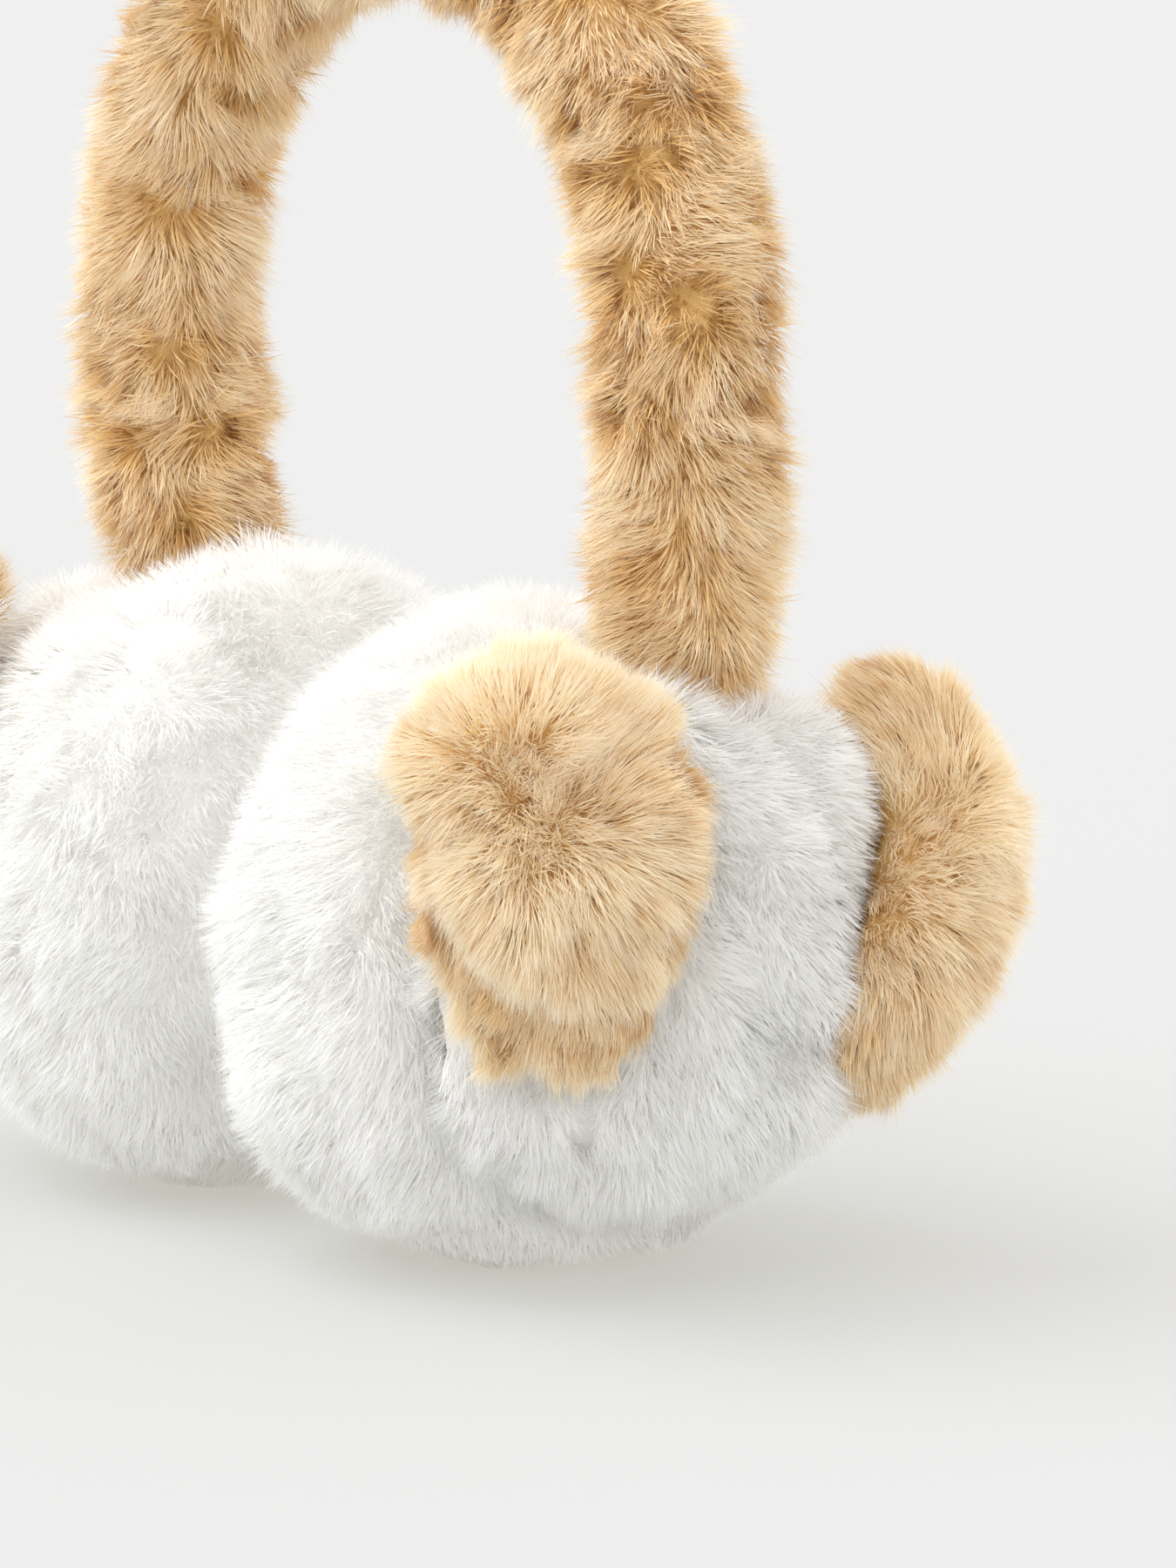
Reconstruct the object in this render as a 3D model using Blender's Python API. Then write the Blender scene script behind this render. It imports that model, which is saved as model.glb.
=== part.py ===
"""Fluffy earmuffs that stand on their two cups: a furred headband, and on each end a thick round cup
made of an inner ear pad and an outer cover, with two floppy plush ears sewn to the cover.

Metres. +Z is up and the floor is z = 0, +X runs from cup to cup, and -Y is the front.
Each cup is drawn once with x pointing outwards from the head, and mirrored for the other side.
Every furred piece is a soft backing whose faces are drawn out into tapering locks of fur.
"""

import math
import random
from collections import namedtuple

import bmesh
import bpy
from mathutils import Vector

CUP_CENTRE_Y = -0.0078  # the cups stand this far in front, because the back ears reach further

# Ear pad: the thick inner half of a cup, which stands on the floor
HEAD_GAP = 0.0060  # free space between the fur of the two pads at rest
FACE_FUR_LENGTH = 0.0060  # fur on the face towards the head
PAD_INNER_DEPTH = 0.0300  # backing, from its widest section to that face
PAD_SEAM_DEPTH = 0.0330  # from its widest section outwards to the seam with the cover
PAD_OUTER_DEPTH = 0.0520  # where its backing would close if the seam didn't cut it
PAD_HALF_WIDTH = 0.0535
PAD_HALF_HEIGHT = 0.0590
PAD_FLATTENING = 0.0050  # how much of its bottom is pressed flat by the floor
PAD_SQUARENESS = 2.6

# Cup cover: the domed outer half of a cup, sewn to the pad where the headband goes in
COVER_RAISE = 0.0085  # its middle above the middle of the pad
COVER_DEPTH = 0.0280
COVER_HALF_WIDTH = 0.0510
COVER_HALF_HEIGHT = 0.0475
COVER_SQUARENESS = 2.6

CUP_FUR_LENGTH = 0.0080

# Headband: a round furred tube bent to an arch, whose two legs tuck in and lean back to the cups
ARCH_RADIUS = 0.0785  # centre line of the arch
BAND_OFFSET = 0.0065  # the arch stands this far behind the middle of the cups
BAND_BACKING_RADIUS = 0.0150
BAND_FUR_LENGTH = 0.0060
LEG_LENGTH = 0.0850  # from the arch down to the end of the tube inside the cup
LEG_FOOT_RAISE = 0.0250  # that end above the middle of the pad
LEG_INSET = 0.0085  # that end's centre line inwards of the seam
LEG_LEAN = 0.0060  # how far back a leg leans there
ARCH_POINTS = 31
LEG_POINTS = 9

# Plush ears: oval pads bent around the front and back shoulders of a cup, narrower at the tip
EAR_HALF_WIDTH = 0.0205
EAR_HALF_HEIGHT = 0.0350
EAR_HALF_THICKNESS = 0.0125
EAR_SQUARENESS = 2.3
EAR_AXIS_INSET = 0.0270  # the upright axis that the ears are bent around, inwards of the seam
EAR_AXIS_OFFSET = 0.0050  # that axis behind the middle of the cups
FRONT_EAR_PROUD = 0.0055  # the middle of an ear outside the backing of the cup
BACK_EAR_PROUD = 0.0075
EAR_TURN = math.radians(47)  # from straight outwards to an ear, about that axis
CUP_TWIST = math.radians(5)  # both ears of a cup sit this much further round towards the back
FRONT_EAR_RAISE = 0.0205  # the middle of an ear above the middle of the cover
BACK_EAR_RAISE = 0.0050
LEFT_BACK_EAR_DROP = 0.0065  # the left cup's back ear hangs this much lower, behind the cup
EAR_TIP_NARROWING = 0.30  # share of the width that the tip loses
EAR_FOLD_START = -0.62  # share of the half height, below which the ear folds under
EAR_FOLD_THINNING = 0.35
EAR_TIP_TUCK = 0.0090  # how far in towards the cup the tip curls
EAR_FUR_LENGTH = 0.0085

# How pieces sit on each other
SEAT_GAP = 0.0003
FACET_ALLOWANCE = 0.0005  # a faceted dome and seat stay this much further apart
FUR_ALLOWANCE = 0.0010  # between the locks of two pieces
BAND_ALLOWANCE = 0.0060  # the headband's locks end this far above the backing of a cup
EAR_ALLOWANCE = 0.0020  # an ear's locks end this far above the backing of a cup
FLOOR_ALLOWANCE = 0.0006  # locks beside the flat base end this far above the floor

# Size of a lock's foot
TUBE_SIDES = 10
PAD_CUTS = 6
COVER_CUTS = 5
EAR_CUTS = 4
SMALLEST_LOCK_FOOT = 0.000012  # square metres
LENGTH_SPREAD = 0.28  # share by which a lock is longer or shorter
SHORTER_LOCKS = (1.0, 0.7, 0.4, 0.2)  # shares of its length that a lock is tried at, longest first
LOCK_LEAN = 0.70  # sideways reach of a tip, as a share of the lock's length
CUP_FLOW_OUT = 0.35  # away from the seam, for each unit down
BAND_FLOW_OUT = 0.30  # away from the middle of the head, for each unit down
EAR_FLOW_DOWN = 0.40  # below an ear's middle, for each unit away from its crown
EAR_CROWN_RAISE = 0.0120  # the crown above the middle of an ear
SEEDS = {"headband": 11, "ear_pad": 21, "cup_cover": 31, "plush_ear": 41}

SIDE_NAMES = {1: "right", -1: "left"}
WELD_DISTANCE = 0.0001
SHARP_ANGLE = math.radians(25)

WHITE_FUR = (0.90, 0.89, 0.86)
TAN_FUR = (0.80, 0.56, 0.31)
FUR_ROUGHNESS = 0.95

# Places that follow from the sizes
PAD_CENTRE_X = HEAD_GAP / 2 + FACE_FUR_LENGTH + PAD_INNER_DEPTH
PAD_CENTRE_HEIGHT = PAD_HALF_HEIGHT - PAD_FLATTENING
SEAM_X = PAD_CENTRE_X + PAD_SEAM_DEPTH
COVER_CENTRE_HEIGHT = PAD_CENTRE_HEIGHT + COVER_RAISE
LEG_FOOT_HEIGHT = PAD_CENTRE_HEIGHT + LEG_FOOT_RAISE
ARCH_CENTRE_HEIGHT = LEG_FOOT_HEIGHT + LEG_LENGTH
LEG_TUCK = ARCH_RADIUS - (SEAM_X - LEG_INSET)
BAND_Y = CUP_CENTRE_Y + BAND_OFFSET

Form = namedtuple("Form", "centre inner outer half_width half_height squareness")


def clear_scene():
    for thing in list(bpy.data.objects):
        bpy.data.objects.remove(thing, do_unlink=True)


def new_collection(name):
    collection = bpy.data.collections.new(name)
    bpy.context.scene.collection.children.link(collection)
    return collection


def fur_material(name, colour):
    material = bpy.data.materials.new(name)
    material.use_nodes = True
    shader = material.node_tree.nodes["Principled BSDF"]
    shader.inputs["Base Color"].default_value = (*colour, 1.0)
    shader.inputs["Roughness"].default_value = FUR_ROUGHNESS
    shader.inputs["Metallic"].default_value = 0.0
    return material


# Forms: a rounded drum about X, given by its centre, half sizes and how square its rim is

PAD_FORM = Form(
    Vector((PAD_CENTRE_X, CUP_CENTRE_Y, PAD_CENTRE_HEIGHT)),
    PAD_INNER_DEPTH,
    PAD_OUTER_DEPTH,
    PAD_HALF_WIDTH,
    PAD_HALF_HEIGHT,
    PAD_SQUARENESS,
)
COVER_FORM = Form(
    Vector((SEAM_X, CUP_CENTRE_Y, COVER_CENTRE_HEIGHT)),
    COVER_DEPTH,
    COVER_DEPTH,
    COVER_HALF_WIDTH,
    COVER_HALF_HEIGHT,
    COVER_SQUARENESS,
)


def grown(form, extra):
    """The same form with every half size longer by extra."""
    return Form(
        form.centre,
        form.inner + extra,
        form.outer + extra,
        form.half_width + extra,
        form.half_height + extra,
        form.squareness,
    )


def form_value(form, offset):
    """1 on the form's surface, less inside it and more outside, for an offset from its centre."""
    depth = form.outer if offset.x > 0 else form.inner
    across = math.hypot(offset.y / form.half_width, offset.z / form.half_height)
    power = form.squareness
    return (abs(offset.x / depth) ** power + across**power) ** (1 / power)


def is_inside(form, point):
    return form_value(form, point - form.centre) < 1.0


def pushed_out(form, point):
    """The point, moved straight out from the form's centre if it lies inside the form."""
    offset = point - form.centre
    value = form_value(form, offset)
    return point if value >= 1.0 else form.centre + offset / value


def lump(form, cuts):
    """A quad mesh of the form: a cube cut into a grid and blown up to the form's surface."""
    bm = bmesh.new()
    bmesh.ops.create_cube(bm, size=2.0)
    bmesh.ops.subdivide_edges(bm, edges=bm.edges[:], cuts=cuts, use_grid_fill=True)
    for vert in bm.verts:
        spread = Vector([math.tan(part * math.pi / 4) for part in vert.co])
        stretched = Vector(
            (
                spread.x * (form.outer if spread.x > 0 else form.inner),
                spread.y * form.half_width,
                spread.z * form.half_height,
            )
        )
        vert.co = form.centre + stretched / form_value(form, stretched)
    return bm


def cut_flat(bm, point, outwards):
    """Cuts the mesh along a plane, drops what lies beyond it and closes the cut with a flat face."""
    everything = bm.verts[:] + bm.edges[:] + bm.faces[:]
    bmesh.ops.bisect_plane(bm, geom=everything, plane_co=point, plane_no=outwards, clear_outer=True)
    rim = [edge for edge in bm.edges if edge.is_boundary]
    bmesh.ops.contextual_create(bm, geom=rim)
    bmesh.ops.recalc_face_normals(bm, faces=bm.faces[:])


# Locks of fur


def grow_locks(bm, length, flow, allowed, seed):
    """Draws each large four-sided face out into one leaning lock whose tip stays where allowed says."""
    chance = random.Random(seed)
    bm.normal_update()
    feet = [f for f in bm.faces if len(f.verts) == 4 and f.calc_area() > SMALLEST_LOCK_FOOT]
    feet = [f for f in feet if allowed(f.calc_center_median())]
    tips = bmesh.ops.poke(bm, faces=feet, center_mode="MEAN")["verts"]
    bm.normal_update()
    moves = []
    for tip in tips:
        reach = length * (1 + LENGTH_SPREAD * chance.uniform(-1, 1))
        lean = flow(tip.co)
        lean = lean - tip.normal * lean.dot(tip.normal)
        if lean.length > 0:
            lean.normalize()
        step = tip.normal * reach + lean * reach * LOCK_LEAN
        share = next((s for s in SHORTER_LOCKS if allowed(tip.co + step * s)), 0.0)
        moves.append(step * share)
    for tip, move in zip(tips, moves):
        tip.co += move


def to_object(bm, name, material, collection, side=1):
    """Makes the mesh an object. Side -1 mirrors it to the other end of the headband."""
    if side < 0:
        bmesh.ops.scale(bm, vec=(-1, 1, 1), verts=bm.verts[:])
        bmesh.ops.reverse_faces(bm, faces=bm.faces[:])
    mesh = bpy.data.meshes.new(name)
    bm.to_mesh(mesh)
    bm.free()
    mesh.shade_smooth()
    mesh.set_sharp_from_angle(angle=SHARP_ANGLE)
    mesh.materials.append(material)
    thing = bpy.data.objects.new(name, mesh)
    collection.objects.link(thing)
    return thing


# Headband


def leg_point(fall):
    """The centre line of a leg, for a fall from 0 at the arch's end to 1 at the foot, with x outwards."""
    height = ARCH_CENTRE_HEIGHT - LEG_LENGTH * fall
    return Vector((ARCH_RADIUS - LEG_TUCK * fall**2, BAND_Y + LEG_LEAN * fall**2, height))


def band_line():
    """The centre line from the foot at -X over the arch to the foot at +X."""
    leg = [leg_point(1 - step / LEG_POINTS) for step in range(LEG_POINTS)]
    arch = []
    for step in range(ARCH_POINTS + 1):
        turn = math.pi * (1 - step / ARCH_POINTS)
        x = ARCH_RADIUS * math.cos(turn)
        z = ARCH_CENTRE_HEIGHT + ARCH_RADIUS * math.sin(turn)
        arch.append(Vector((x, BAND_Y, z)))
    left_leg = [Vector((-p.x, p.y, p.z)) for p in leg]
    return left_leg + arch + leg[::-1]


def beside_band(point):
    """True where a cup's lock stays out of the headband's fur, on the +X side."""
    fall = (ARCH_CENTRE_HEIGHT - point.z) / LEG_LENGTH
    offset = point - leg_point(max(0.0, min(1.0, fall)))
    fur_radius = BAND_BACKING_RADIUS + BAND_FUR_LENGTH * (1 + LENGTH_SPREAD)
    return offset.length > fur_radius + FUR_ALLOWANCE


def tube(name, line, radius, twist_step=0.0):
    """A closed round tube along a line, as a mesh object that is linked to nothing."""
    curve = bpy.data.curves.new(name, "CURVE")
    curve.dimensions = "3D"
    curve.bevel_depth = radius
    curve.bevel_resolution = TUBE_SIDES // 2 - 2
    curve.use_fill_caps = True
    spline = curve.splines.new("POLY")
    spline.points.add(len(line) - 1)
    for index, (point, place) in enumerate(zip(spline.points, line)):
        point.co = (*place, 1.0)
        point.tilt = index * twist_step
    source = bpy.data.objects.new(name, curve)
    bpy.context.scene.collection.objects.link(source)
    bpy.context.view_layer.update()
    evaluated = source.evaluated_get(bpy.context.evaluated_depsgraph_get())
    mesh = bpy.data.meshes.new_from_object(evaluated)
    bpy.data.objects.remove(source, do_unlink=True)
    bpy.data.curves.remove(curve)
    bm = bmesh.new()
    bm.from_mesh(mesh)
    bpy.data.meshes.remove(mesh)
    bmesh.ops.remove_doubles(bm, verts=bm.verts[:], dist=WELD_DISTANCE)
    bmesh.ops.recalc_face_normals(bm, faces=bm.faces[:])
    return bm


def folded(point):
    """The point on the +X side of the head, where the cup's forms are drawn."""
    return Vector((abs(point.x), point.y, point.z))


def build_headband(material, collection):
    line = band_line()
    bm = tube("headband", line, BAND_BACKING_RADIUS, twist_step=math.pi / TUBE_SIDES)
    cups = [grown(form, BAND_ALLOWANCE) for form in (PAD_FORM, COVER_FORM)]

    def clear_of_cups(point):
        return not any(is_inside(form, folded(point)) for form in cups)

    def down_the_band(point):
        return Vector((math.copysign(BAND_FLOW_OUT, point.x), 0, -1))

    grow_locks(bm, BAND_FUR_LENGTH, down_the_band, clear_of_cups, SEEDS["headband"])
    return to_object(bm, "headband", material, collection)


def build_socket_cutter(side, collection):
    """The space that the headband's leg takes up in a cup: the flats of the socket clear its edges."""
    line = [leg_point(step / LEG_POINTS) for step in range(LEG_POINTS + 1)]
    line[-1].z -= SEAT_GAP
    bm = tube("socket", line, (BAND_BACKING_RADIUS + SEAT_GAP) / math.cos(math.pi / TUBE_SIDES))
    cutter = to_object(bm, f"socket_cutter_{SIDE_NAMES[side]}", None, collection, side)
    cutter.hide_render = True
    cutter.display_type = "WIRE"
    return cutter


# Cups


def downwards(point):
    return Vector((math.copysign(CUP_FLOW_OUT, point.x - SEAM_X), 0, -1))


def above_floor(point):
    return point.z > FLOOR_ALLOWANCE


def free_of_neighbours(point, ears):
    """True where a cup's lock meets neither the floor nor the headband nor an ear."""
    return above_floor(point) and beside_band(point) and not any(ear_holds(ear, point) for ear in ears)


def build_ear_pad(side, ears, material, collection):
    bm = lump(PAD_FORM, PAD_CUTS)
    cut_flat(bm, (SEAM_X - SEAT_GAP / 2, 0, 0), (1, 0, 0))
    cut_flat(bm, (0, 0, 0), (0, 0, -1))

    def allowed(point):
        in_pad = HEAD_GAP / 2 < point.x < SEAM_X - FUR_ALLOWANCE / 2
        return in_pad and free_of_neighbours(point, ears)

    grow_locks(bm, CUP_FUR_LENGTH, downwards, allowed, SEEDS["ear_pad"] + side)
    return to_object(bm, f"ear_pad_{SIDE_NAMES[side]}", material, collection, side)


def build_cup_cover(side, ears, material, collection):
    bm = lump(COVER_FORM, COVER_CUTS)
    cut_flat(bm, (SEAM_X + SEAT_GAP / 2, 0, 0), (-1, 0, 0))

    def allowed(point):
        return point.x > SEAM_X + FUR_ALLOWANCE / 2 and free_of_neighbours(point, ears)

    grow_locks(bm, CUP_FUR_LENGTH, downwards, allowed, SEEDS["cup_cover"] + side)
    return to_object(bm, f"cup_cover_{SIDE_NAMES[side]}", material, collection, side)


def cut_with(thing, cutter):
    cut = thing.modifiers.new("socket", "BOOLEAN")
    cut.operation = "DIFFERENCE"
    cut.solver = "EXACT"
    cut.object = cutter


# Plush ears

Ear = namedtuple("Ear", "name angle height reach")
EAR_AXIS = Vector((SEAM_X - EAR_AXIS_INSET, CUP_CENTRE_Y + EAR_AXIS_OFFSET, 0))
EAR_FORM = Form(
    Vector((0, 0, 0)),
    EAR_HALF_THICKNESS,
    EAR_HALF_THICKNESS,
    EAR_HALF_WIDTH,
    EAR_HALF_HEIGHT,
    EAR_SQUARENESS,
)


def cup_reach(angle, height):
    """How far the backing of the cup reaches from the ears' axis in a level direction."""
    direction = Vector((math.cos(angle), math.sin(angle), 0))
    inside, outside = 0.0, 2 * PAD_HALF_WIDTH + COVER_DEPTH
    while outside - inside > 0.00001:
        middle = (inside + outside) / 2
        point = EAR_AXIS + direction * middle + Vector((0, 0, height))
        if is_inside(PAD_FORM, point) or is_inside(COVER_FORM, point):
            inside = middle
        else:
            outside = middle
    return inside


def place_ear(name, angle, rise, proud):
    height = COVER_CENTRE_HEIGHT + rise
    return Ear(name, angle, height, cup_reach(angle, height) + proud)


def tip_tuck(height):
    """How far in an ear curls at a height measured from its middle."""
    return EAR_TIP_TUCK * max(0.0, -height / EAR_HALF_HEIGHT) ** 2


def into_ear(ear, point):
    """The point in the ear's own bent space: x outwards, y around the cup's axis, z up."""
    offset = point - EAR_AXIS - Vector((0, 0, ear.height))
    around = math.atan2(offset.y, offset.x) - ear.angle
    outwards = math.hypot(offset.x, offset.y) - ear.reach + tip_tuck(offset.z)
    return Vector((outwards, around * ear.reach, offset.z))


def out_of_ear(ear, local):
    angle = ear.angle + local.y / ear.reach
    reach = ear.reach + local.x - tip_tuck(local.z)
    return EAR_AXIS + Vector((reach * math.cos(angle), reach * math.sin(angle), ear.height + local.z))


def ear_holds(ear, point):
    """True where the ear and its fur lie."""
    fur = grown(EAR_FORM, EAR_FUR_LENGTH * (1 + LENGTH_SPREAD) + FUR_ALLOWANCE)
    return is_inside(fur, into_ear(ear, point))


def build_plush_ear(side, ear, material, collection, seed):
    bm = lump(EAR_FORM, EAR_CUTS)
    fold_height = EAR_FOLD_START * EAR_HALF_HEIGHT
    for vert in bm.verts:
        sunk = max(0.0, -vert.co.z / EAR_HALF_HEIGHT)
        vert.co.y *= 1 - EAR_TIP_NARROWING * sunk
        if vert.co.z < fold_height:
            vert.co.x *= 1 - EAR_FOLD_THINNING
        vert.co = out_of_ear(ear, vert.co)
    seats = [grown(form, SEAT_GAP + FACET_ALLOWANCE) for form in (COVER_FORM, PAD_FORM)]
    for vert in bm.verts:
        for seat in seats:
            vert.co = pushed_out(seat, vert.co)

    cups = [grown(form, EAR_ALLOWANCE) for form in (COVER_FORM, PAD_FORM)]

    def allowed(point):
        return above_floor(point) and not any(is_inside(form, point) for form in cups)

    def from_crown(point):
        local = into_ear(ear, point)
        crown = out_of_ear(ear, Vector((EAR_HALF_THICKNESS, 0, EAR_CROWN_RAISE)))
        sinking = EAR_FLOW_DOWN if local.z < 0 else 0.0
        return (point - crown).normalized() - Vector((0, 0, sinking))

    grow_locks(bm, EAR_FUR_LENGTH, from_crown, allowed, seed)
    return to_object(bm, ear.name, material, collection, side)


def main():
    clear_scene()
    parts = new_collection("earmuffs")
    cutters = new_collection("cutters")
    white = fur_material("white_fur", WHITE_FUR)
    tan = fur_material("tan_fur", TAN_FUR)
    build_headband(tan, parts)
    for side, side_name in SIDE_NAMES.items():
        back_rise = BACK_EAR_RAISE - (LEFT_BACK_EAR_DROP if side < 0 else 0.0)
        name = f"plush_ear_{side_name}"
        ears = [
            place_ear(f"{name}_front", CUP_TWIST - EAR_TURN, FRONT_EAR_RAISE, FRONT_EAR_PROUD),
            place_ear(f"{name}_back", CUP_TWIST + EAR_TURN, back_rise, BACK_EAR_PROUD),
        ]
        pad = build_ear_pad(side, ears, white, parts)
        cover = build_cup_cover(side, ears, white, parts)
        socket = build_socket_cutter(side, cutters)
        cut_with(pad, socket)
        cut_with(cover, socket)
        for number, ear in enumerate(ears):
            build_plush_ear(side, ear, tan, parts, SEEDS["plush_ear"] + 2 * number + side)


main()
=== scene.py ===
"""The looks of the fur earmuffs: fine fur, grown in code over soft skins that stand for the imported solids.

Metres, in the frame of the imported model: +Z up, +X from the left cup to the right cup, -Y the front.
Every hair is a flat tapering blade on a bent line. Neighbouring hairs are drawn together into wisps and
tufts. Each blade carries how far along its hair a point is and the hair's tone, and the fur materials
turn these two into a colour from root to tip.
"""

import math
from collections import namedtuple

import bmesh
import bpy
import numpy as np
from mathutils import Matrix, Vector
from mathutils.bvhtree import BVHTree
from mathutils.kdtree import KDTree


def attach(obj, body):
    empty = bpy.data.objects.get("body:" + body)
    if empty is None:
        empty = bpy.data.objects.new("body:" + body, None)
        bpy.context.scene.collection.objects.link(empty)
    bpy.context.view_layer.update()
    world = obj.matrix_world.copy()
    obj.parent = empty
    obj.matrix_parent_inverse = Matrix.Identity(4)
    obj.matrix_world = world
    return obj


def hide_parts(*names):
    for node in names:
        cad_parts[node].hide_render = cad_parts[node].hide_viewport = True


BODY = "root"
SEED = 7

# Camera, as fitted to the photograph
CAMERA_AZIMUTH = math.radians(52.0)
CAMERA_ELEVATION = math.radians(9.17)
CAMERA_DISTANCE = 1.6
CAMERA_TARGET = Vector((0.0494, -0.0010, 0.0849))
CAMERA_LENS = 205
CAMERA_FAR = 200

# Light
SKY_COLOUR = (1.0, 0.997, 0.99)
SKY_STRENGTH = 1.41
LAMP_STRENGTH = 1.50
LAMP_SPREAD = math.radians(50)
LAMP_RIGHT = -0.75  # where the lamp stands, as seen from the camera: to the left,
LAMP_AWAY = 0.15  # a little behind the object
LAMP_UP = 1.00  # and above it
DIFFUSE_BOUNCES = 14  # light passes through many pale hairs before it leaves the fur
OTHER_BOUNCES = 4  # allowed on top of those

# Floor
FLOOR_SIZE = 60.0
FLOOR_COLOUR = (0.242, 0.247, 0.280)
FLOOR_GLOW = (0.438, 0.431, 0.374)  # the lit paper's own share, which keeps its shadows light

# Colours of a deep hair and of a pale one, at places from its root to its tip
WHITE_DEEP = ((0.0, (0.90, 0.895, 0.878)), (0.6, (0.925, 0.922, 0.912)), (1.0, (0.925, 0.923, 0.915)))
WHITE_PALE = ((0.0, (0.94, 0.938, 0.928)), (0.5, (0.952, 0.951, 0.944)), (1.0, (0.95, 0.949, 0.943)))
TAN_DEEP = ((0.0, (0.40, 0.18, 0.032)), (0.5, (0.77, 0.49, 0.18)), (1.0, (0.92, 0.73, 0.42)))
TAN_PALE = ((0.0, (0.78, 0.56, 0.28)), (0.45, (0.91, 0.78, 0.52)), (1.0, (0.95, 0.90, 0.78)))
WHITE_CLEAR = 0.30  # share of the light that passes through a hair
TAN_CLEAR = 0.10
HAIR_ROUGHNESS = 0.75
HAIR_SHINE = 0.25

# Dense fur on the skins: its darkest and lightest colour, and its patches to the metre
WHITE_UNDERFUR = ((0.88, 0.87, 0.85), (0.94, 0.935, 0.92))
TAN_UNDERFUR = ((0.52, 0.28, 0.08), (0.76, 0.50, 0.21))
WHITE_PATCHES = 90
TAN_PATCHES = 110
PATCH_DETAIL = 6
PATCH_EDGES = (0.35, 0.65)  # noise values at which the darkest and the lightest colour are reached
FIBRES_IN_PATCH = 12
FIBRE_DETAIL = 4
FIBRE_STRENGTH = 0.8
FIBRE_HEIGHT = 0.0012
UNDERFUR_ROUGHNESS = 0.95
UNDERFUR_SHINE = 0.1

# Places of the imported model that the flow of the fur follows
ARCH_RADIUS = 0.0785
ARCH_HEIGHT = 0.1640  # height of the arch's centre
LEG_LENGTH = 0.0850
LEG_TUCK = 0.0150  # how far the foot of a leg lies inwards of the arch
LEG_LEAN = 0.0060  # how far back a leg leans at its foot
BAND_Y = -0.0013
EAR_AXIS_X = 0.0450  # upright axis that the ears are bent around
EAR_AXIS_Y = -0.0028
CUP_CENTRE_Y = -0.0078
CROWN_X = 0.060  # where the fur of a cup flows from, beside the headband
CROWN_BACK = 0.006
CROWN_HEIGHT = 0.130
FOOT_X = 0.0480  # middle of a cup's foot

# Skins
SKIN_VOXEL = 0.0030
SKIN_PASSES = 30
SKIN_SETTLING = 0.5  # share of the way to its neighbours' middle that a point moves in each pass
FLOOR_CLEARANCE = 0.0005
INSIDE = 0.8  # a point this straight behind the nearest face is inside a skin
COVERED = 0.0004  # a skin nearer than this to its neighbour's grows no fur
FAR = 1.0  # stands for any distance to a neighbour that is out of reach
REACH = 0.016  # how far from a neighbour its place is still looked at

UP = np.array([[0.0, 0.0, 1.0]])
NO_LENGTH = 1e-9  # least divisors, where a length or a distance may be nothing
NO_DISTANCE = 1e-6

rng = np.random.default_rng(SEED)
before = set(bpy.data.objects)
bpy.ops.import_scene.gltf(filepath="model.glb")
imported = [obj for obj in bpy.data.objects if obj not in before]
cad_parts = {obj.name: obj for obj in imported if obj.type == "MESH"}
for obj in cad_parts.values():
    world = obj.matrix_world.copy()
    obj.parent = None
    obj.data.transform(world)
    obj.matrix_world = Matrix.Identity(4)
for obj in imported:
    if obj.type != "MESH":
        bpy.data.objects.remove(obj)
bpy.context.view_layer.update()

Skin = namedtuple("Skin", "points triangles normals tree")
Bed = namedtuple("Bed", "skin neighbours corners near share")
Roots = namedtuple("Roots", "points normals near")
Growth = namedtuple("Growth", "flow rise fall length tone")


def camera_axes():
    """Unit vectors from the target towards the camera, and to the camera's right."""
    back = Vector((
        math.sin(CAMERA_AZIMUTH) * math.cos(CAMERA_ELEVATION),
        -math.cos(CAMERA_AZIMUTH) * math.cos(CAMERA_ELEVATION),
        math.sin(CAMERA_ELEVATION),
    ))
    right = Vector((math.cos(CAMERA_AZIMUTH), math.sin(CAMERA_AZIMUTH), 0.0))
    return back, right


def add_camera():
    back, _ = camera_axes()
    data = bpy.data.cameras.new("camera")
    data.lens = CAMERA_LENS
    data.clip_end = CAMERA_FAR
    camera = bpy.data.objects.new("camera", data)
    bpy.context.scene.collection.objects.link(camera)
    camera.location = CAMERA_TARGET + back * CAMERA_DISTANCE
    camera.rotation_mode = "QUATERNION"
    camera.rotation_quaternion = back.to_track_quat("Z", "Y")
    bpy.context.scene.camera = camera


def add_light():
    world = bpy.data.worlds.new("studio")
    world.use_nodes = True
    sky = world.node_tree.nodes["Background"]
    sky.inputs["Color"].default_value = (*SKY_COLOUR, 1.0)
    sky.inputs["Strength"].default_value = SKY_STRENGTH
    bpy.context.scene.world = world

    back, right = camera_axes()
    away = -Vector((back.x, back.y, 0.0)).normalized()
    towards_lamp = right * LAMP_RIGHT + away * LAMP_AWAY + Vector((0.0, 0.0, LAMP_UP))
    data = bpy.data.lights.new("lamp", "SUN")
    data.energy = LAMP_STRENGTH
    data.angle = LAMP_SPREAD
    lamp = bpy.data.objects.new("lamp", data)
    lamp.rotation_mode = "QUATERNION"
    lamp.rotation_quaternion = towards_lamp.to_track_quat("Z", "Y")
    bpy.context.scene.collection.objects.link(lamp)
    bpy.context.scene.view_settings.view_transform = "Standard"
    bpy.context.scene.cycles.diffuse_bounces = DIFFUSE_BOUNCES
    bpy.context.scene.cycles.max_bounces = DIFFUSE_BOUNCES + OTHER_BOUNCES


def new_material(name):
    material = bpy.data.materials.new(name)
    material.use_nodes = True
    nodes = material.node_tree.nodes
    return material, nodes, material.node_tree.links, nodes["Principled BSDF"]


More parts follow.
